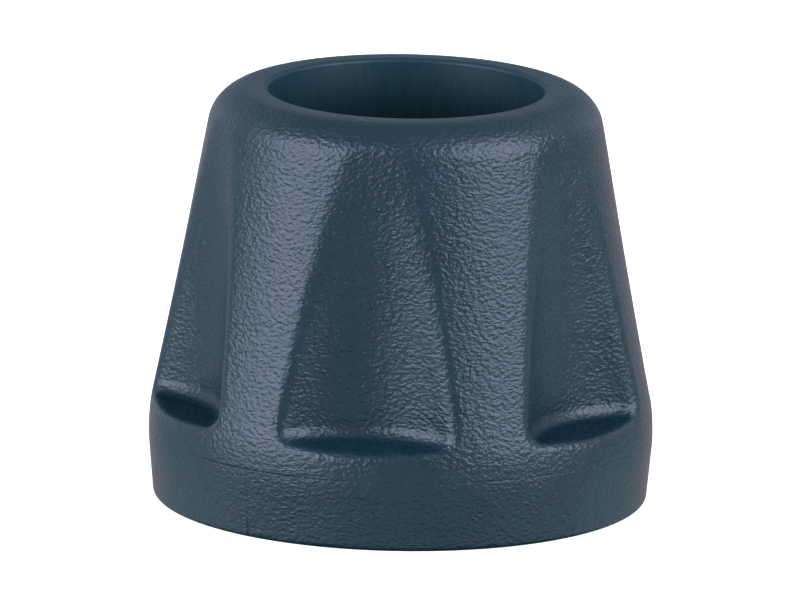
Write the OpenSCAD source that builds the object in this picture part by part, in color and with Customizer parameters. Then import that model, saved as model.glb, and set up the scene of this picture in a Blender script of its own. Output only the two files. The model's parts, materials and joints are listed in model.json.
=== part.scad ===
// Rubber tip that pushes onto the foot of a cane or crutch.
// One moulding: a round socket for the tube, a tapered body with six scoops
// that leave ribs between them, a plain collar and a ringed sole.
// Sizes are in millimetres. The origin is the centre of the sole, with +Z up
// the socket and the middle of one scoop towards -Y.

/* [Socket] */
// Outer diameter of the tube that the socket grips
tube_d = 25; // [22:0.5:26]
// Depth of the socket from the rim
socket_depth = 28; // [20:0.5:30]
// Rounding where the socket wall meets its floor
socket_floor_r = 1.5; // [0.5:0.25:3]
// Rounding of the lip at the mouth of the socket
lip_r = 0.5; // [0.2:0.05:1]

/* [Body] */
// Height from the sole to the rim
body_h = 37.7; // [34:0.1:44]
// Wall at the rim, from the socket to the unrounded outer corner
rim_wall = 4.8; // [4:0.1:5.5]
// Rounding of the shoulder between the rim and the flank
shoulder_r = 3.6; // [2:0.1:4]
// Diameter of the collar at its widest, before it is rounded
collar_d = 46.1; // [44:0.1:50]
// Height of the widest point of the collar
collar_h = 7.1; // [6:0.1:8]
// Rounding between the collar and the flank
collar_r = 16; // [8:0.5:20]
// Diameter of the sole
sole_d = 44.8; // [42:0.1:46]
// Rounding of the sole's outer edge
sole_edge_r = 0.5; // [0.2:0.05:1]

/* [Scoops] */
// Number of scoops around the body
scoop_count = 6; // [4:1:6]
// Rubber left between the socket and the bottom of a scoop
scoop_wall = 5.4; // [4.5:0.1:6.5]
// Radius of a scoop's hollow
scoop_r = 11.7; // [9:0.1:13]
// Height at which the back of a scoop meets its shelf
shelf_h = 9.4; // [8.8:0.1:11]
// Fall of the shelf towards its outer edge, in degrees
shelf_fall = 6; // [2:0.5:12]
// Rounding where the shelf meets the hollow
shelf_r = 1.2; // [0.4:0.1:1.6]

/* [Sole] */
// Number of grooves in the sole
groove_count = 3; // [1:1:3]
// Radius of the innermost groove, at its middle
groove_first_r = 6; // [4:0.5:7]
// Spacing of the grooves
groove_pitch = 5; // [4:0.25:6]
// Width of a groove at its mouth
groove_w = 1.8; // [1:0.1:2.4]
// Depth of a groove
groove_depth = 1.2; // [0.5:0.1:2]

/* [Hidden] */
$fn = 144;
// How far a cut runs past the surface that it opens
past = 1;
// A rounding's circle stands this far proud, so that it crosses the lines
// that it joins instead of only grazing them
proud = 0.0005;
// A rounding is cut from its circle by a wedge: the depth of the wedge's tip
// below the chord, and the width of the wedge at the chord, in chords
wedge_depth = 0.25;
wedge_width = 1.2;
// Taper of a groove, from its mouth to its floor
groove_floor_w = groove_w * 2 / 3;
socket_r = tube_d / 2;
socket_floor_h = body_h - socket_depth;
scoop_floor_r = socket_r + scoop_wall;
rim_corner = [socket_r + rim_wall, body_h];
collar_corner = [collar_d / 2, collar_h];
sole_corner = [sole_d / 2, 0];

function unit(v) = v / norm(v);

// For the corner p between its neighbours a and b: half of its angle, where a
// rounding of radius r leaves the side towards a, and the rounding's centre.
function half_angle(a, p, b) = acos(unit(a - p) * unit(b - p)) / 2;
function arc_end(a, p, b, r) = p + unit(a - p) * r / tan(half_angle(a, p, b));
function arc_centre(a, p, b, r) = p + unit(unit(a - p) + unit(b - p)) * r / sin(half_angle(a, p, b));

// What the rounding of a corner adds to its chord.
module bulge(a, p, b, r) {
    centre = arc_centre(a, p, b, r);
    half_chord = (arc_end(b, p, a, r) - arc_end(a, p, b, r)) / 2;
    middle = arc_end(a, p, b, r) + half_chord;
    tip = middle + unit(centre - middle) * 2 * norm(half_chord) * wedge_depth;
    open = r / norm(middle - tip);
    intersection() {
        translate(centre)
            circle(r + proud);
        polygon([
            tip,
            tip + open * (middle - wedge_width * half_chord - tip),
            tip + open * (middle + wedge_width * half_chord - tip)
        ]);
    }
}

// An anticlockwise outline with each corner rounded to its own radius.
module outline(points, radii) {
    n = len(points);
    before = [for (i = [0:n - 1]) points[(i + n - 1) % n]];
    after = [for (i = [0:n - 1]) points[(i + 1) % n]];
    outward = [for (i = [0:n - 1]) cross(points[i] - before[i], after[i] - points[i]) > 0];
    difference() {
        union() {
            polygon([
                for (i = [0:n - 1])
                    each radii[i] == 0 ? [points[i]] : [
                        arc_end(before[i], points[i], after[i], radii[i]),
                        arc_end(after[i], points[i], before[i], radii[i])
                    ]
            ]);
            for (i = [0:n - 1])
                if (radii[i] > 0 && outward[i])
                    bulge(before[i], points[i], after[i], radii[i]);
        }
        for (i = [0:n - 1])
            if (radii[i] > 0 && !outward[i])
                bulge(before[i], points[i], after[i], radii[i]);
    }
}

// The body before the scoops are cut.
module blank() {
    rotate_extrude()
        outline(
            [
                [0, 0],
                sole_corner,
                collar_corner,
                rim_corner,
                [socket_r, body_h],
                [socket_r, socket_floor_h],
                [0, socket_floor_h]
            ],
            [0, sole_edge_r, collar_r, shoulder_r, lip_r, socket_floor_r, 0]
        );
}

// The space of one scoop: a round hollow whose back leaves scoop_wall of
// rubber around the socket, and whose end is a shallow cone for the shelf.
module scoop() {
    top = body_h - shelf_h + past;
    translate([scoop_floor_r + scoop_r, 0, shelf_h])
        rotate_extrude()
            outline(
                [
                    [0, -scoop_r * tan(shelf_fall)],
                    [scoop_r, 0],
                    [scoop_r, top],
                    [0, top]
                ],
                [0, shelf_r, 0, 0]
            );
}

module scoops() {
    for (i = [0:scoop_count - 1])
        rotate([0, 0, i * 360 / scoop_count - 90])
            scoop();
}

// Rings cut in the sole for grip.
module grooves() {
    draft = (groove_w - groove_floor_w) / 2 / groove_depth;
    mouth_w = groove_w + 2 * past * draft;
    for (i = [0:groove_count - 1])
        rotate_extrude()
            translate([groove_first_r + i * groove_pitch, 0])
                polygon([
                    [-mouth_w / 2, -past],
                    [mouth_w / 2, -past],
                    [groove_floor_w / 2, groove_depth],
                    [-groove_floor_w / 2, groove_depth]
                ]);
}

module rubber_tip() {
    color([0.2, 0.26, 0.31])
        difference() {
            blank();
            scoops();
            grooves();
        }
}

rubber_tip();
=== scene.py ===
"""A moulded rubber cane tip on a pale studio floor.

The tip is one piece of rubber. Its half section is drawn as a line, rounded and
spun, and the scoops are then pressed into its flank with soft edges.
"""

import json
import math
from collections import namedtuple

import bpy
import numpy as np
from bpy.props import FloatProperty, FloatVectorProperty, IntProperty, PointerProperty
from mathutils import Matrix, Vector


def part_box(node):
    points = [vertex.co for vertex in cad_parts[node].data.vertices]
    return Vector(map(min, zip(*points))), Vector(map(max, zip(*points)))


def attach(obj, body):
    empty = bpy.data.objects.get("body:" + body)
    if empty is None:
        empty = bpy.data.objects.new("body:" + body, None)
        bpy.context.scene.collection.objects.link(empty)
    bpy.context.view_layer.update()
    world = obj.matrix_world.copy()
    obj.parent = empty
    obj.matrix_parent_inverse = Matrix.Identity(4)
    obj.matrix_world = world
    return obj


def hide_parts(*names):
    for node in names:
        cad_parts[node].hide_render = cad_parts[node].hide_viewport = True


bl_info = {
    "name": "Rubber Cane Tip",
    "version": (1, 0, 0),
    "blender": (4, 5, 0),
    "location": "View3D > Sidebar > Cane Tip",
    "description": "Models a moulded rubber cane tip with its finish and a studio stage",
    "category": "Object",
}

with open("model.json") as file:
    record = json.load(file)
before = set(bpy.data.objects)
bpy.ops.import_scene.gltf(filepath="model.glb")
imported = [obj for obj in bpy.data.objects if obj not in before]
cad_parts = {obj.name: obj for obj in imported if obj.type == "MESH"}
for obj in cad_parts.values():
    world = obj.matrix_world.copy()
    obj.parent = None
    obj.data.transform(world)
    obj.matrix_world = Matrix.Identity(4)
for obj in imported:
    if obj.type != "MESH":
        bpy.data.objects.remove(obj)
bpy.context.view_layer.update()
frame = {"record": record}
MM = 0.001
LOWEST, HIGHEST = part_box("rubber_tip")
SOCKET = next(m for m in frame["record"]["mounts"] if m["name"] == "socket")

# Points that are closer than this are one point
TOUCHING = 0.001 * MM
# Times that a search halves its range
HALVINGS = 26
# Rows that the pressed flank is worked out on, before the mesh's rows are spaced along them
TRIED_ROWS = 1600
# Length that a radian of bend is worth when rows are spaced
BEND_WORTH = 0.35 * MM
# Width of the band of lines that is gathered on a ridge, and how strongly it is
GATHER_WIDTH = math.radians(3.2)
GATHER_SHARE = 1.3
# Lines are gathered at least this far from a scoop's middle, also where its two ridges meet
GATHER_APART = math.radians(5)

# Upward part of the normal where a face begins to count as level or as a shelf, and where it fully does
LEVEL_FACE = (0.5, 0.85)
SHELF_FACE = (0.7, 0.95)
# Where the socket's finish gives way: distances past its wall, and shares of its floor's height
BARE_EDGE = (0.1 * MM, 0.6 * MM)
BARE_FOOT = (0.5, 0.8)
# Values of a noise where its mask begins and where it is full
CLOUDS = (0.3, 0.7)
PALE_PEBBLES = (0.42, 0.62)
DARK_STREAKS = (0.3, 0.75)

# Upward part of a direction where one light of the world begins to give way to the next, and where it has
UNDER_TIP = (-0.75, -0.45)
FLOOR_TOP = (-0.3, -0.05)
HORIZON = (-0.1, 0.1)
BACKDROP_TOP = (0.1, 0.45)
# The same for the part of a direction that leads away from the camera
FRONT_FLOOR_END = (0.3, 0.95)
BACKDROP_SIDE = (0.65, 1.0)
# Width of the camera's sensor, in the millimetres that its lens is given in
SENSOR_WIDTH = 36

# A corner of the half section, with its rounding and the number of segments in it
Corner = namedtuple("Corner", "name r z rounding segments")


def length(name, description, millimetres):
    """A size in metres, with its default given in millimetres."""
    return FloatProperty(
        name=name, description=description, default=millimetres * MM, min=0.0, unit="LENGTH", precision=5
    )


def angle(name, description, degrees):
    """An angle, with its default given in degrees."""
    return FloatProperty(name=name, description=description, default=math.radians(degrees), unit="ROTATION")


def amount(name, description, default, highest=10.0):
    """A plain number."""
    return FloatProperty(name=name, description=description, default=default, min=0.0, max=highest)


def colour(name, description, default):
    """A linear colour."""
    return FloatVectorProperty(
        name=name, description=description, default=default, size=3, min=0.0, max=1.0, subtype="COLOR"
    )


class CaneTipSizes(bpy.types.PropertyGroup):
    """Sizes of the rubber tip."""

    socket_radius: length("Socket radius", "Radius of the tube's socket", SOCKET["dims"]["r_mm"])
    socket_depth: length("Socket depth", "Depth of the socket from the rim", 28)
    socket_floor_rounding: length("Socket floor rounding", "Rounding at the foot of the socket", 1.5)
    lip_rounding: length("Lip rounding", "Rounding of the lip at the socket's mouth", 0.35)
    height: length("Height", "From the sole to the rim", (HIGHEST[2] - LOWEST[2]) / MM)
    rim_wall: length("Rim wall", "Wall at the rim, out to the corner before rounding", 4.8)
    shoulder_rounding: length("Shoulder rounding", "Rounding between the rim and the flank", 3.6)
    flank_hollow: length("Flank hollow", "How far the flank bows in at its middle", 0.1)
    collar_radius: length("Collar radius", "Radius of the collar before rounding", 23.05)
    collar_height: length("Collar height", "Height of the widest point of the collar", 7.1)
    collar_rounding: length("Collar rounding", "Rounding between the collar and the flank", 16)
    sole_radius: length("Sole radius", "Radius of the sole", 22.4)
    sole_edge_rounding: length("Sole edge rounding", "Rounding of the sole's outer edge", 0.5)
    scoop_count: IntProperty(name="Scoops", description="Number of scoops", default=6, min=4, max=6)
    scoop_wall: length("Scoop wall", "Rubber between the socket and a scoop", 5.4)
    scoop_radius: length("Scoop radius", "Radius of a scoop's hollow", 11.7)
    shelf_height: length("Shelf height", "Height where a scoop's back meets its shelf", 9.4)
    shelf_fall: angle("Shelf fall", "Fall of a shelf towards its outer edge", 6)
    shelf_rounding: length("Shelf rounding", "Rounding where a shelf meets its hollow", 1.2)
    shelf_edge_rounding: length("Shelf edge rounding", "Rounding of a shelf's outer edge", 0.65)
    ridge_rounding: length("Ridge rounding", "Rounding of the ridges beside a scoop", 0.8)
    groove_count: IntProperty(name="Grooves", description="Number of rings in the sole", default=3, min=1)
    groove_first_radius: length("First groove", "Radius of the innermost groove", 6)
    groove_pitch: length("Groove pitch", "Spacing of the grooves", 5)
    groove_width: length("Groove width", "Width of a groove at its mouth", 1.8)
    groove_floor_width: length("Groove floor", "Width of a groove at its floor", 1.2)
    groove_depth: length("Groove depth", "Depth of a groove", 1.2)
    groove_rounding: length("Groove rounding", "Rounding of a groove's corners", 0.15)
    spin_steps: IntProperty(name="Spin steps", description="Steps once round the tip", default=360, min=72)
    flank_cuts: IntProperty(
        name="Flank cuts", description="Rows added up the flank", default=100, min=20, max=100
    )
    smooth_angle: angle("Smooth angle", "Edges that bend less than this are shaded smooth", 38)


class CaneTipFinish(bpy.types.PropertyGroup):
    """Finish of the rubber."""

    rubber: colour("Rubber", "Colour of the rubber", (0.007, 0.0205, 0.0278))
    cloud_size: length("Cloud size", "Width of the clouds in the rubber's tone", 6)
    cloud_dark: amount("Dark clouds", "Strength of the colour in the dark clouds", 0.93)
    cloud_pale: amount("Pale clouds", "Strength of the colour in the pale clouds", 1.08)
    cloud_rough: amount("Cloud roughness", "How much rougher the pale clouds are", 0.05, 1.0)
    roughness: amount("Roughness", "Roughness of the grained faces", 0.32, 1.0)
    refraction: amount("Refraction", "Index of refraction of the rubber's skin", 1.5)
    grain_size: length("Grain size", "Width of one pebble of the grain", 0.45)
    grain_flatness: amount("Grain flatness", "Width of a pebble over its height", 1.5)
    grain_depth: length("Grain depth", "Height of the grain", 0.118)
    grain_wander: length("Grain wander", "How far the pebbles are drawn out of their rows", 0.3)
    wander_size: length("Wander size", "Width of the waves that draw the pebbles", 1.1)
    level_grain: amount("Level grain", "Share of the grain that the level faces have", 0.85, 1.0)
    collar_grain: amount("Collar grain", "Share of the grain that the collar has", 0.8, 1.0)
    shelf_dullness: amount("Shelf dullness", "Share of the shine that the shelves lack", 0.9, 1.0)
    shelf_mottle: amount("Shelf mottle", "How far the shelves' pebbles take the socket's colour", 0.55, 1.0)
    socket_rubber: colour("Socket rubber", "Colour of the socket's bare wall", (0.0115, 0.036, 0.044))
    socket_roughness: amount("Socket roughness", "Roughness of the socket's wall", 0.42, 1.0)
    socket_dullness: amount("Socket dullness", "Share of the shine that its mouth lacks", 0.45, 1.0)
    # Painted shade: the socket's colour is darkened towards its foot, where shade falls deep in the bore.
    socket_painted_shade: amount("Socket darkness", "How far the foot of the socket is darkened", 0.4, 1.0)
    # This depth sets where the socket's shine is gone and also how deep its painted shade reaches.
    dull_depth: length("Dull depth", "Depth in the socket where all shine is gone", 6)
    streak_width: length("Streak width", "Width of a streak in the socket", 0.5)
    streak_stretch: amount("Streak stretch", "Height of a streak over its width", 5)
    streak_depth: amount("Streak depth", "Depth of a streak over the height of the grain", 0.2)
    streak_darkness: amount("Streak darkness", "How far a streak is darkened", 0.17, 1.0)
    parting_height: length("Parting height", "Height of the mould's parting line", 6.4)
    parting_width: length("Parting width", "Width of the parting line and of the seam", 0.16)
    parting_depth: length("Parting depth", "Depth of the parting line by the seam", 0.055)
    parting_far: amount("Far parting", "Share of its depth that the line keeps far away", 0.25, 1.0)
    parting_near: angle("Near parting", "Turn from the seam where the line begins to fade", 10)
    parting_end: angle("Parting end", "Turn from the seam where the line has faded", 24)
    seam_turn: angle("Seam turn", "Turn of the seam below the parting line, from -Y towards +X", -28.7)
    seam_depth: length("Seam depth", "Depth of the seam", 0.033)
    nick_height: length("Nick height", "Height of the nick at the foot of the seam", 1.4)
    nick_width: length("Nick width", "Width of the nick at the sole", 0.32)
    nick_depth: length("Nick depth", "Depth of the nick", 0.11)
    nick_softness: length("Nick softness", "How far the nick's sides reach either way", 0.09)
    # Painted shade: the nick's colour is darkened, as shade falls in the small cut.
    nick_painted_shade: amount("Nick darkness", "How far the nick is darkened", 0.6, 1.0)


class CaneTipStage(bpy.types.PropertyGroup):
    """Floor, lights and camera."""

    camera_distance: length("Camera distance", "From the camera to the tip", 1500)
    camera_azimuth: angle("Camera azimuth", "Turn of the camera round the tip, from -Y towards +X", 8.4)
    camera_elevation: angle("Camera elevation", "Height of the camera above the horizon", 13.044)
    camera_roll: angle("Camera roll", "Roll of the camera about its line of sight", 0.95)
    camera_lens: amount("Camera lens", "Focal length in millimetres on a 36 mm sensor", 744.2, 5000.0)
    aim_height: length("Aim height", "Height on the tip's axis that the camera is set by", 18)
    aim_right: length("Aim right", "How far right of the picture's middle that point lies", 0.253)
    aim_down: length("Aim down", "How far below the picture's middle that point lies", 0.026)
    floor_size: length("Floor size", "Width of the floor", 6000)
    floor_white: amount("Floor white", "Share of the light that the floor sends back", 0.8, 1.0)
    floor_light: amount("Floor light", "Light that the floor gives of itself", 0.85)
    light_distance: length("Light distance", "From a softbox to the tip", 1000)
    light_tint: colour("Light tint", "Colour of the softboxes", (0.72, 0.79, 1.0))
    side_light: amount("Side light", "Strength of the softboxes beside the camera", 1.82, 100.0)
    rear_light: amount("Rear light", "Strength of the softboxes behind the tip", 0.4, 100.0)
    world_tint: colour("World tint", "Light from all round", (0.20, 0.30, 0.33))
    floor_glow: colour("Floor glow", "Light from the floor before the tip", (0.66, 0.90, 1.0))
    backdrop_glow: colour("Backdrop glow", "Light from the backdrop behind the tip", (0.42, 0.50, 0.60))
    far_floor_glow: colour("Far floor glow", "Light from the floor behind the tip", (0.58, 0.45, 0.56))
    floor_shade: colour("Floor shade", "Light from the floor right under the tip", (0.02, 0.03, 0.04))


class Shade:
    """A shader socket that can be used in Python expressions."""

    def __init__(self, tree, socket):
        self.tree = tree
        self.socket = socket

    def node(self, kind, settings=None, inputs=None, output=0):
        """Adds a node, applies its settings, fills its sockets and gives one of its outputs."""
        made = self.tree.nodes.new(kind)
        for name, value in (settings or {}).items():
            setattr(made, name, value)
        for key, value in (inputs or {}).items():
            if isinstance(value, Shade):
                self.tree.links.new(value.socket, made.inputs[key])
            else:
                made.inputs[key].default_value = value
        return Shade(self.tree, made.outputs[output])

    def math(self, operation, *values):
        return self.node("ShaderNodeMath", {"operation": operation}, dict(enumerate(values)))

    def vector_math(self, operation, *values):
        return self.node("ShaderNodeVectorMath", {"operation": operation}, dict(enumerate(values)))

    def __add__(self, other):
        return self.math("ADD", self, other)

    def __radd__(self, other):
        return self.math("ADD", other, self)

    def __sub__(self, other):
        return self.math("SUBTRACT", self, other)

    def __rsub__(self, other):
        return self.math("SUBTRACT", other, self)

    def __mul__(self, other):
        return self.math("MULTIPLY", self, other)

    def __rmul__(self, other):
        return self.math("MULTIPLY", other, self)

    def __abs__(self):
        return self.math("ABSOLUTE", self)

    def __neg__(self):
        return self.math("MULTIPLY", self, -1)

    def step(self, low, high):
        """0 below low and 1 above high, with a smooth change between them."""
        return self.node(
            "ShaderNodeMapRange",
            {"interpolation_type": "SMOOTHSTEP"},
            {"Value": self, "From Min": low, "From Max": high},
        )

    def mix(self, first, second):
        """A colour that goes from first to second as this value goes from 0 to 1."""
        # Inputs 6 and 7 and output 2 are the ones that a Mix node has for colours
        return self.node("ShaderNodeMix", {"data_type": "RGBA"}, {0: self, 6: first, 7: second}, output=2)

    def noise(self, size, detail=2.0, output=0):
        """Noise on this vector, with features about as wide as the size given."""
        values = {"Vector": self, "Scale": 1 / size, "Detail": detail}
        return self.node("ShaderNodeTexNoise", None, values, output)

    def part(self, axis):
        """The X, Y or Z of this vector."""
        return self.node("ShaderNodeSeparateXYZ", None, {0: self}, "XYZ".index(axis))


def new_material(name):
    """An empty node material, as a starting point for expressions, and its output node."""
    material = bpy.data.materials.new(name)
    material.use_nodes = True
    tree = material.node_tree
    tree.nodes.clear()
    return material, Shade(tree, None), tree.nodes.new("ShaderNodeOutputMaterial")


def mould_marks(finish, sizes, x, y, z):
    """Where the parting line, the seam below it and the nick at its foot are, each from 0 to 1."""
    half = finish.parting_width / 2
    line_edge = (half / 2, 1.5 * half)
    around = x.math("ARCTAN2", x, -y) - finish.seam_turn
    along = around * sizes.collar_radius
    fading = abs(around).step(finish.parting_near, finish.parting_end)
    on_line = 1 - abs(z - finish.parting_height).step(*line_edge)
    parting = on_line * (1 - (1 - finish.parting_far) * fading)
    below = 1 - z.step(finish.parting_height - half, finish.parting_height)
    seam = below * (1 - abs(along).step(*line_edge))
    nick_half = (finish.nick_height - z) * (finish.nick_width / 2 / finish.nick_height)
    nick = (nick_half - abs(along)).step(-finish.nick_softness, finish.nick_softness)
    return parting, seam, nick


def grain_pebbles(finish, place):
    """The pebbles of the grain, drawn a little out of their rows, from 0 to 1."""
    wander = place.noise(finish.wander_size, 1.0, output="Color")
    bent = place.vector_math("MULTIPLY_ADD", wander, (finish.grain_wander,) * 3, place)
    flat = bent.vector_math("MULTIPLY", bent, (1.0, 1.0, finish.grain_flatness))
    return flat.noise(finish.grain_size, 1.0)


def rubber_material(finish, sizes):
    """Dark blue-grey rubber: a spark-eroded grain outside, a barer and duller wall in the socket. Shade is
    painted into the colour deep in the socket and in the nick.
    """
    material, start, surface = new_material("Grained rubber")
    place = start.node("ShaderNodeTexCoord", output="Object")
    x, y, z = (place.part(axis) for axis in "XYZ")
    radius = start.math("SQRT", x * x + y * y)
    upward = start.node("ShaderNodeTexCoord", output="Normal").part("Z")

    socket_floor = sizes.height - sizes.socket_depth
    within = 1 - (radius - sizes.socket_radius).step(*BARE_EDGE)
    inside = within * z.step(*(share * socket_floor for share in BARE_FOOT))
    outside = 1 - inside
    # deep rises from the rim to full at dull_depth below it; it dulls the socket's shine and paints shade
    # into its colour.
    deep = 1 - z.step(sizes.height - finish.dull_depth, sizes.height)
    level = upward.step(*LEVEL_FACE)
    low = 1 - z.step(sizes.shelf_height, sizes.shelf_height + sizes.shelf_rounding)
    shelf = upward.step(*SHELF_FACE) * low

    pebbles = grain_pebbles(finish, place)
    above_collar = z.step(finish.parting_height, sizes.shelf_height)
    up_the_side = finish.collar_grain + (1 - finish.collar_grain) * above_collar
    grain = pebbles * up_the_side * (1 - (1 - finish.level_grain) * level) * outside
    stretched = place.vector_math("MULTIPLY", place, (1.0, 1.0, 1 / finish.streak_stretch))
    streaks = stretched.noise(finish.streak_width)
    parting, seam, nick = mould_marks(finish, sizes, x, y, z)
    cut = parting * finish.parting_depth + seam * finish.seam_depth + nick * finish.nick_depth
    height = grain + finish.streak_depth * streaks * inside - cut * (1 / finish.grain_depth)
    bump = start.node(
        "ShaderNodeBump", None, {"Height": height, "Strength": 1.0, "Distance": finish.grain_depth}
    )

    clouds = place.noise(finish.cloud_size, 3.0).step(*CLOUDS)
    dark_rubber = (*(finish.cloud_dark * part for part in finish.rubber), 1.0)
    pale_rubber = (*(finish.cloud_pale * part for part in finish.rubber), 1.0)
    bare = inside + finish.shelf_mottle * shelf * pebbles.step(*PALE_PEBBLES)
    skin = bare.mix(clouds.mix(dark_rubber, pale_rubber), (*finish.socket_rubber, 1.0))
    # Painted shade: the socket's colour darkens with depth as shade falls in the bore; the streaks'
    # darkening is the wall's own drag marks.
    socket_streaks_and_shade = finish.streak_darkness * streaks.step(*DARK_STREAKS) + finish.socket_painted_shade * deep
    # Painted shade in the nick and down the socket, together with the socket's real streaks, darkens the
    # skin's colour.
    streaks_and_painted_shade = finish.nick_painted_shade * nick + inside * socket_streaks_and_shade
    tint = streaks_and_painted_shade.mix(skin, (0.0, 0.0, 0.0, 1.0))
    smooth = 1 - outside * (1 - level)
    rough = finish.roughness + (finish.socket_roughness - finish.roughness) * smooth
    rough = rough + finish.cloud_rough * (clouds - 0.5)

    socket_dull = finish.socket_dullness + (1 - finish.socket_dullness) * deep
    dull = inside * socket_dull + finish.shelf_dullness * shelf
    shiny = start.node(
        "ShaderNodeBsdfPrincipled",
        None,
        {"Base Color": tint, "Roughness": rough, "Normal": bump, "IOR": finish.refraction},
    )
    matt = start.node(
        "ShaderNodeBsdfPrincipled",
        None,
        {"Base Color": tint, "Roughness": 1.0, "Normal": bump, "Specular IOR Level": 0.0},
    )
    shader = start.node("ShaderNodeMixShader", None, {0: dull, 1: shiny, 2: matt})
    start.tree.links.new(shader.socket, surface.inputs["Surface"])
    return material


def select_where(mesh, chosen):
    """In edit mode, selects only the vertices whose numbers are in chosen."""
    bpy.ops.mesh.select_mode(type="VERT")
    bpy.ops.mesh.select_all(action="DESELECT")
    bpy.ops.object.mode_set(mode="OBJECT")
    for index in chosen:
        mesh.vertices[index].select = True
    bpy.ops.object.mode_set(mode="EDIT")


def points_of(mesh):
    """The places of a mesh's vertices, as rows of x, y and z."""
    places = np.empty(len(mesh.vertices) * 3)
    mesh.vertices.foreach_get("co", places)
    return places.reshape(-1, 3)


def nearest(mesh, corner):
    """In edit mode, the number of the vertex nearest to a corner of the section."""
    bpy.ops.object.mode_set(mode="OBJECT")
    places = points_of(mesh)
    bpy.ops.object.mode_set(mode="EDIT")
    return int(np.argmin(np.hypot(places[:, 0] - corner.r, places[:, 2] - corner.z)))


def walk(mesh):
    """The numbers of a line's vertices in order, from its lower end on the axis."""
    beside = {vertex.index: [] for vertex in mesh.vertices}
    for edge in mesh.edges:
        first, second = edge.vertices
        beside[first].append(second)
        beside[second].append(first)
    ends = [index for index, others in beside.items() if len(others) == 1]
    order = [min(ends, key=lambda index: mesh.vertices[index].co.z)]
    while len(order) < len(beside):
        order.append(next(index for index in beside[order[-1]] if index not in order[-2:]))
    return order


def section_corners(sizes):
    """Corners of the half section, from the sole's centre round to the centre of the socket's floor."""
    shoulder_radius = sizes.socket_radius + sizes.rim_wall
    socket_floor = sizes.height - sizes.socket_depth
    corners = [Corner("sole centre", 0.0, 0.0, 0.0, 0)]
    for i in range(sizes.groove_count):
        middle = sizes.groove_first_radius + i * sizes.groove_pitch
        mouth, foot, top = sizes.groove_width / 2, sizes.groove_floor_width / 2, sizes.groove_depth
        for side, z in ((-mouth, 0.0), (-foot, top), (foot, top), (mouth, 0.0)):
            corners.append(Corner("groove", middle + side, z, sizes.groove_rounding, 2))
    return corners + [
        Corner("sole edge", sizes.sole_radius, 0.0, sizes.sole_edge_rounding, 5),
        Corner("collar", sizes.collar_radius, sizes.collar_height, sizes.collar_rounding, 16),
        Corner("shoulder", shoulder_radius, sizes.height, sizes.shoulder_rounding, 24),
        Corner("lip", sizes.socket_radius, sizes.height, sizes.lip_rounding, 6),
        Corner("socket foot", sizes.socket_radius, socket_floor, sizes.socket_floor_rounding, 6),
        Corner("socket centre", 0.0, socket_floor, 0.0, 0),
    ]


def ends_of(corners, name):
    """The first and the last vertex of a corner's rounding, counted along the section."""
    first = 0
    for corner in corners:
        last = first + corner.segments
        if corner.name == name:
            return first, last
        first = last + 1
    raise KeyError(name)


def draw_section(sizes, corners):
    """Draws the half section as a line in the XZ plane, with its corners rounded."""
    bpy.ops.object.select_all(action="DESELECT")
    bpy.ops.mesh.primitive_plane_add(size=sizes.height, location=(0, 0, 0))
    piece = bpy.context.object
    piece.name = piece.data.name = "moulded_rubber"
    bpy.ops.object.mode_set(mode="EDIT")
    bpy.ops.mesh.merge(type="CENTER")
    for here, after in zip(corners, corners[1:]):
        bpy.ops.mesh.extrude_region_move(
            TRANSFORM_OT_translate={"value": (after.r - here.r, 0, after.z - here.z)}
        )
    for before, corner, after in zip(corners, corners[1:], corners[2:]):
        back = Vector((before.r - corner.r, before.z - corner.z))
        onward = Vector((after.r - corner.r, after.z - corner.z))
        select_where(piece.data, [nearest(piece.data, corner)])
        bpy.ops.mesh.bevel(
            offset_type="OFFSET",
            offset=corner.rounding / math.tan(back.angle(onward) / 2),
            segments=corner.segments,
            profile=0.5,
            affect="VERTICES",
        )
    bpy.ops.object.mode_set(mode="OBJECT")
    return piece


def cut_flank(mesh, corners, cuts):
    """Cuts the straight flank, from the collar's rounding up to the shoulder's, into rows."""
    order = walk(mesh)
    foot = order[ends_of(corners, "collar")[1]]
    top = order[ends_of(corners, "shoulder")[0]]
    bpy.ops.object.mode_set(mode="EDIT")
    select_where(mesh, [foot, top])
    bpy.ops.mesh.subdivide(number_cuts=cuts)
    bpy.ops.object.mode_set(mode="OBJECT")


def number_rows(mesh, corners, cuts):
    """Numbers the rows from the sole's edge to the rim as the attribute "row", and gives their (r, z)."""
    order = walk(mesh)
    first = ends_of(corners, "sole edge")[1]
    last = ends_of(corners, "shoulder")[1] + cuts
    rows = np.full(len(order), -1.0)
    rows[order[first : last + 1]] = np.arange(last + 1 - first)
    mesh.attributes.new("row", "FLOAT", "POINT").data.foreach_set("value", rows)
    return points_of(mesh)[order][first : last + 1, [0, 2]]


def spin_section(steps):
    """Spins the section once round and closes it, with its faces outwards."""
    bpy.ops.object.mode_set(mode="EDIT")
    bpy.ops.mesh.select_all(action="SELECT")
    bpy.ops.mesh.spin(steps=steps, angle=2 * math.pi, center=(0, 0, 0), axis=(0, 0, 1))
    bpy.ops.mesh.select_all(action="SELECT")
    bpy.ops.mesh.remove_doubles(threshold=TOUCHING)
    bpy.ops.mesh.select_all(action="SELECT")
    bpy.ops.mesh.normals_make_consistent(inside=False)
    bpy.ops.object.mode_set(mode="OBJECT")


def last_place(low, high, holds):
    """The furthest places from low towards high where a condition holds, found by halving."""
    for _ in range(HALVINGS):
        middle = (low + high) / 2
        held = holds(middle)
        low = np.where(held, middle, low)
        high = np.where(held, high, middle)
    return (low + high) / 2


def soft_max(first, second, rounding):
    """The larger of two distances, with the corner between them rounded."""
    inner = np.minimum(np.maximum(first, second), -rounding)
    return inner + np.hypot(np.maximum(first + rounding, 0), np.maximum(second + rounding, 0))


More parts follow.
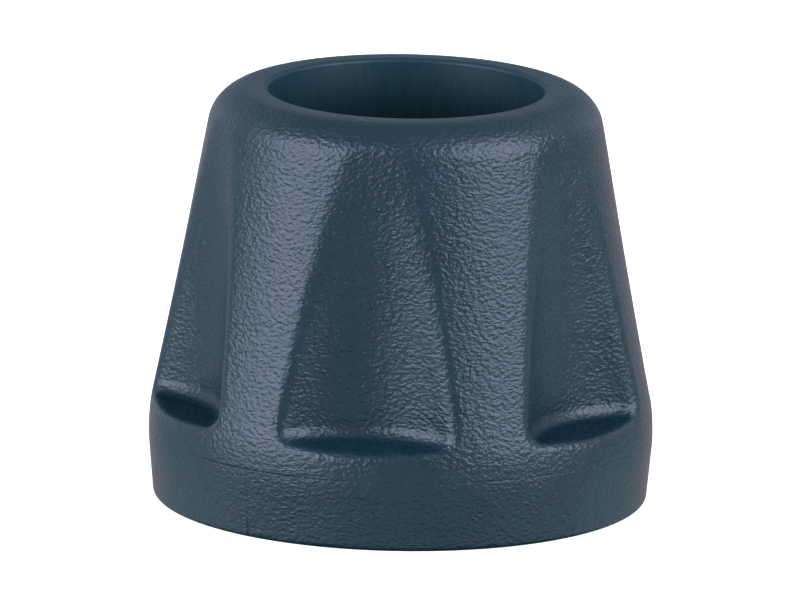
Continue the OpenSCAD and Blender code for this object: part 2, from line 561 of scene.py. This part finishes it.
def scoop_centre(sizes):
    """How far the axis of a scoop's hollow is from the axis of the tip."""
    return sizes.socket_radius + sizes.scoop_wall + sizes.scoop_radius


def outside_scoop(sizes, along, across, z):
    """How far a point is outside the space of the scoop that lies towards +along."""
    reach = np.hypot(along - scoop_centre(sizes), across)
    slope = math.tan(sizes.shelf_fall)
    under = sizes.shelf_height - slope * (sizes.scoop_radius - reach) - z
    return soft_max(reach - sizes.scoop_radius, under / math.hypot(1, slope), sizes.shelf_rounding)


def press(sizes, r, z, out_r, out_z, turn):
    """Moves points of the flank in along their normals, to the surface with its scoops.

    A point's turn is its angle from the middle of its scoop.
    """

    def in_the_open(depth):
        at_r, at_z = r - depth * out_r, z - depth * out_z
        scoop = outside_scoop(sizes, at_r * np.cos(turn), at_r * np.sin(turn), at_z)
        above_shelf = (at_z - sizes.shelf_height - sizes.shelf_rounding) / sizes.shelf_rounding
        change = sizes.ridge_rounding - sizes.shelf_edge_rounding
        rounding = sizes.shelf_edge_rounding + np.clip(above_shelf, 0, 1) * change
        return soft_max(-depth, -scoop, rounding) > 0

    none = np.zeros(np.broadcast(r, turn).shape)
    depth = last_place(none, none + sizes.scoop_radius, in_the_open)
    depth = np.where(depth < TOUCHING, 0.0, depth)
    return r - depth * out_r, z - depth * out_z


def gathered(sizes, r, turn):
    """Turns of evenly spaced lines, moved so that more of them run along the ridges of a scoop."""
    centre = scoop_centre(sizes)
    half = math.pi / sizes.scoop_count
    cosine = (r * r + centre * centre - sizes.scoop_radius**2) / (2 * r * centre)
    ridge = np.hypot(np.arccos(np.clip(cosine, -1, 1)), GATHER_APART)

    def lines_up_to(at):
        left, right = (np.tanh((at + side * ridge) / GATHER_WIDTH) for side in (1, -1))
        return at + GATHER_SHARE * GATHER_WIDTH * (left + right)

    scale = lines_up_to(np.full_like(ridge, half)) / half
    low = np.full(np.broadcast(r, turn).shape, -half)
    return last_place(low, -low, lambda at: lines_up_to(at) < turn * scale)


def spaced_rows(places, rows):
    """Picks evenly spaced rows from many, closer together where the surface bends."""
    move = np.diff(places, axis=0)
    gap = np.linalg.norm(move, axis=2)
    heading = move / gap[..., None]
    bend = np.arccos(np.clip((heading[1:] * heading[:-1]).sum(-1), -1, 1))
    cost = gap + BEND_WORTH * np.concatenate([bend[:1] * 0, bend])
    spent = np.concatenate([np.zeros_like(cost[:1]), np.cumsum(cost, axis=0)])
    spaced = np.empty((rows, *places.shape[1:]))
    for column in range(places.shape[1]):
        wanted = np.linspace(0, spent[-1, column], rows)
        for axis in range(3):
            spaced[:, column, axis] = np.interp(wanted, spent[:, column], places[:, column, axis])
    return spaced


def scooped_flank(sizes, path, turns):
    """Places (along, across, z) for each row of the path and each turn from a scoop's middle."""
    # The unpressed section in many even steps, with the direction that it faces
    gaps = np.hypot(*np.diff(path, axis=0).T)
    station = np.concatenate([[0], np.cumsum(gaps)])
    tangent = np.gradient(path, station, axis=0)
    heading = np.unwrap(np.arctan2(tangent[:, 1], tangent[:, 0]))
    at = np.linspace(0, station[-1], TRIED_ROWS)
    r, z = (np.interp(at, station, path[:, k])[:, None] for k in (0, 1))
    facing = np.interp(at, station, heading)[:, None] - math.pi / 2

    # The flank's slight bow, then the scoops
    top = sizes.height - sizes.shoulder_rounding
    rise = np.clip((z - sizes.collar_height) / (top - sizes.collar_height), 0, 1)
    r = r - sizes.flank_hollow * (4 * rise * (1 - rise)) ** 1.5
    turn = gathered(sizes, r, turns[None, :])
    r, z = press(sizes, r, z, np.cos(facing), np.sin(facing), turn)
    return spaced_rows(np.stack([r * np.cos(turn), r * np.sin(turn), z], -1), len(path))


def press_scoops(mesh, sizes, path):
    """Moves the numbered rows of the spun mesh to the surface with its scoops."""
    sector = 2 * math.pi / sizes.scoop_count
    per_sector = sizes.spin_steps // sizes.scoop_count
    turns = (np.arange(per_sector) / per_sector - 0.5) * sector
    surface = scooped_flank(sizes, path, turns)

    places = points_of(mesh)
    rows = np.empty(len(mesh.vertices))
    mesh.attributes["row"].data.foreach_get("value", rows)
    chosen = rows > -0.5
    row = np.round(rows[chosen]).astype(int)

    # A vertex's scoop and its column in it, from its turn counted in spin steps
    around = np.arctan2(places[chosen, 1], places[chosen, 0]) + math.pi / 2 + sector / 2
    step = np.round(around / (2 * math.pi) * sizes.spin_steps).astype(int) % sizes.spin_steps
    scoop, column = step // per_sector, step % per_sector
    along, across, z = surface[row, column].T

    # From the scoop's own directions to the tip's, with the first scoop towards -Y
    spin = scoop * sector - math.pi / 2
    x = along * np.cos(spin) - across * np.sin(spin)
    y = along * np.sin(spin) + across * np.cos(spin)
    places[chosen] = np.stack([x, y, z], -1)
    mesh.vertices.foreach_set("co", places.ravel())
    mesh.attributes.remove(mesh.attributes["row"])
    mesh.update()


def model_rubber(sizes):
    """The whole moulding as one closed mesh."""
    corners = section_corners(sizes)
    piece = draw_section(sizes, corners)
    cut_flank(piece.data, corners, sizes.flank_cuts)
    path = number_rows(piece.data, corners, sizes.flank_cuts)
    spin_section(sizes.spin_steps)
    press_scoops(piece.data, sizes, path)
    bpy.ops.object.select_all(action="DESELECT")
    piece.select_set(True)
    bpy.context.view_layer.objects.active = piece
    bpy.ops.object.shade_smooth_by_angle(angle=sizes.smooth_angle)
    return piece


class CANETIP_OT_rubber(bpy.types.Operator):
    """Models the rubber moulding and gives it its grained finish."""

    bl_idname = "canetip.rubber"
    bl_label = "Rubber moulding"

    def execute(self, context):
        scene = context.scene
        piece = model_rubber(scene.cane_tip_sizes)
        piece.data.materials.append(rubber_material(scene.cane_tip_finish, scene.cane_tip_sizes))
        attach(piece, "root")
        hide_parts("rubber_tip")
        return {"FINISHED"}


def floor_material(stage):
    """A white floor, bright enough to leave no edge against the white behind it."""
    material, start, surface = new_material("White floor")
    white = stage.floor_white
    matt = start.node("ShaderNodeBsdfDiffuse", None, {"Color": (white, white, white, 1.0)})
    glow = start.node(
        "ShaderNodeEmission", None, {"Color": (1.0, 1.0, 1.0, 1.0), "Strength": stage.floor_light}
    )
    both = start.node("ShaderNodeAddShader", None, {0: matt, 1: glow})
    both.tree.links.new(both.socket, surface.inputs["Surface"])
    return material


def light_world(stage):
    """White to the camera, and dim light on the tip, with the glow of the floor and the backdrop."""
    world = bpy.data.worlds.new("Studio")
    bpy.context.scene.world = world
    world.use_nodes = True
    tree = world.node_tree
    tree.nodes.clear()
    start = Shade(tree, None)
    towards = start.node("ShaderNodeTexCoord", output="Generated")
    up = towards.part("Z")
    away = (-math.sin(stage.camera_azimuth), math.cos(stage.camera_azimuth), 0.0)
    behind = towards.node(
        "ShaderNodeVectorMath", {"operation": "DOT_PRODUCT"}, {0: towards, 1: away}, output="Value"
    )
    front_floor = (1 - up.step(*FLOOR_TOP)) * (1 - behind.step(*FRONT_FLOOR_END))
    rear = (1 - up.step(*BACKDROP_TOP)) * behind.step(*BACKDROP_SIDE)
    rear_glow = up.step(*HORIZON).mix((*stage.far_floor_glow, 1), (*stage.backdrop_glow, 1))
    glow = front_floor.mix((*stage.world_tint, 1), (*stage.floor_glow, 1))
    glow = rear.mix(glow, rear_glow)
    glow = up.step(*UNDER_TIP).mix((*stage.floor_shade, 1), glow)
    lit = start.node("ShaderNodeBackground", None, {"Color": glow, "Strength": 1.0})
    white = start.node("ShaderNodeBackground", None, {"Color": (1, 1, 1, 1), "Strength": 1.0})
    seen = start.node("ShaderNodeLightPath", output="Is Camera Ray")
    both = start.node("ShaderNodeMixShader", None, {0: seen, 1: lit, 2: white})
    out = tree.nodes.new("ShaderNodeOutputWorld")
    tree.links.new(both.socket, out.inputs["Surface"])


def softbox(stage, name, strength, azimuth, elevation, width, height, spread=180):
    """A large soft light, by its direction from the camera's own and its size as seen from the tip.

    Angles are in degrees. With a spread under 180 the light falls off towards its edges.
    """
    turn = math.radians(azimuth) + stage.camera_azimuth
    rise = math.radians(elevation)
    towards = Vector((math.sin(turn) * math.cos(rise), -math.cos(turn) * math.cos(rise), math.sin(rise)))
    aim = Vector((0, 0, stage.aim_height))
    bpy.ops.object.light_add(type="AREA", location=aim + towards * stage.light_distance)
    light = bpy.context.object
    light.name = name
    light.rotation_euler = towards.to_track_quat("Z", "Y").to_euler()
    light.visible_camera = False
    box = light.data
    box.shape = "RECTANGLE"
    box.size = 2 * stage.light_distance * math.tan(math.radians(width) / 2)
    box.size_y = 2 * stage.light_distance * math.tan(math.radians(height) / 2)
    box.energy = math.pi * box.size * box.size_y * strength
    box.color = stage.light_tint
    box.spread = math.radians(spread)


def place_camera(stage):
    """The camera, set by its direction from a point on the tip's axis."""
    a, e, roll = stage.camera_azimuth, stage.camera_elevation, stage.camera_roll
    right = Vector((math.cos(a), math.sin(a), 0))
    back = Vector((math.sin(a) * math.cos(e), -math.cos(a) * math.cos(e), math.sin(e)))
    up = back.cross(right)
    across = right * math.cos(roll) + up * math.sin(roll)
    upright = up * math.cos(roll) - right * math.sin(roll)
    aim = Vector((0, 0, stage.aim_height))
    place = aim + back * stage.camera_distance - across * stage.aim_right + upright * stage.aim_down
    turn = Matrix((across, upright, back)).transposed().to_4x4()
    bpy.ops.object.camera_add()
    camera = bpy.context.object
    camera.name = "Camera"
    camera.matrix_world = Matrix.Translation(place) @ turn
    camera.data.sensor_width = SENSOR_WIDTH
    camera.data.lens = stage.camera_lens
    camera.data.clip_start = 0.01
    camera.data.clip_end = 100
    bpy.context.scene.camera = camera


class CANETIP_OT_stage(bpy.types.Operator):
    """Makes the floor, the lights and the camera."""

    bl_idname = "canetip.stage"
    bl_label = "Studio stage"

    def execute(self, context):
        stage = context.scene.cane_tip_stage
        bpy.ops.object.select_all(action="DESELECT")
        bpy.ops.mesh.primitive_plane_add(size=stage.floor_size, location=(0, 0, LOWEST[2]))
        floor = context.object
        floor.name = "floor"
        floor.data.materials.append(floor_material(stage))
        floor.visible_diffuse = False
        floor.visible_glossy = False
        floor.visible_shadow = False
        side, rear = stage.side_light, stage.rear_light
        softbox(stage, "left softbox", side, azimuth=-61, elevation=20, width=64, height=54, spread=100)
        softbox(stage, "right softbox", side, azimuth=60, elevation=29, width=58, height=58, spread=100)
        softbox(stage, "left rear softbox", rear, azimuth=-130, elevation=20, width=50, height=50)
        softbox(stage, "right rear softbox", rear, azimuth=130, elevation=25, width=50, height=50)
        light_world(stage)
        place_camera(stage)
        context.scene.view_settings.view_transform = "Standard"
        return {"FINISHED"}


class CANETIP_PT_panel(bpy.types.Panel):
    """Lists the sizes, the finish, the stage and the operators."""

    bl_idname = "CANETIP_PT_panel"
    bl_label = "Cane Tip"
    bl_space_type = "VIEW_3D"
    bl_region_type = "UI"
    bl_category = "Cane Tip"

    def draw(self, context):
        scene = context.scene
        for group in (scene.cane_tip_sizes, scene.cane_tip_finish, scene.cane_tip_stage):
            box = self.layout.box()
            for name in group.__annotations__:
                box.prop(group, name)
        for operator in (CANETIP_OT_rubber, CANETIP_OT_stage):
            self.layout.operator(operator.bl_idname)


CLASSES = (CaneTipSizes, CaneTipFinish, CaneTipStage, CANETIP_OT_rubber, CANETIP_OT_stage, CANETIP_PT_panel)


def register():
    for cls in CLASSES:
        bpy.utils.register_class(cls)
    bpy.types.Scene.cane_tip_sizes = PointerProperty(type=CaneTipSizes)
    bpy.types.Scene.cane_tip_finish = PointerProperty(type=CaneTipFinish)
    bpy.types.Scene.cane_tip_stage = PointerProperty(type=CaneTipStage)


def unregister():
    del bpy.types.Scene.cane_tip_stage
    del bpy.types.Scene.cane_tip_finish
    del bpy.types.Scene.cane_tip_sizes
    for cls in reversed(CLASSES):
        bpy.utils.unregister_class(cls)


def main():
    register()
    bpy.ops.canetip.rubber()
    bpy.ops.canetip.stage()


if __name__ == "__main__":
    main()
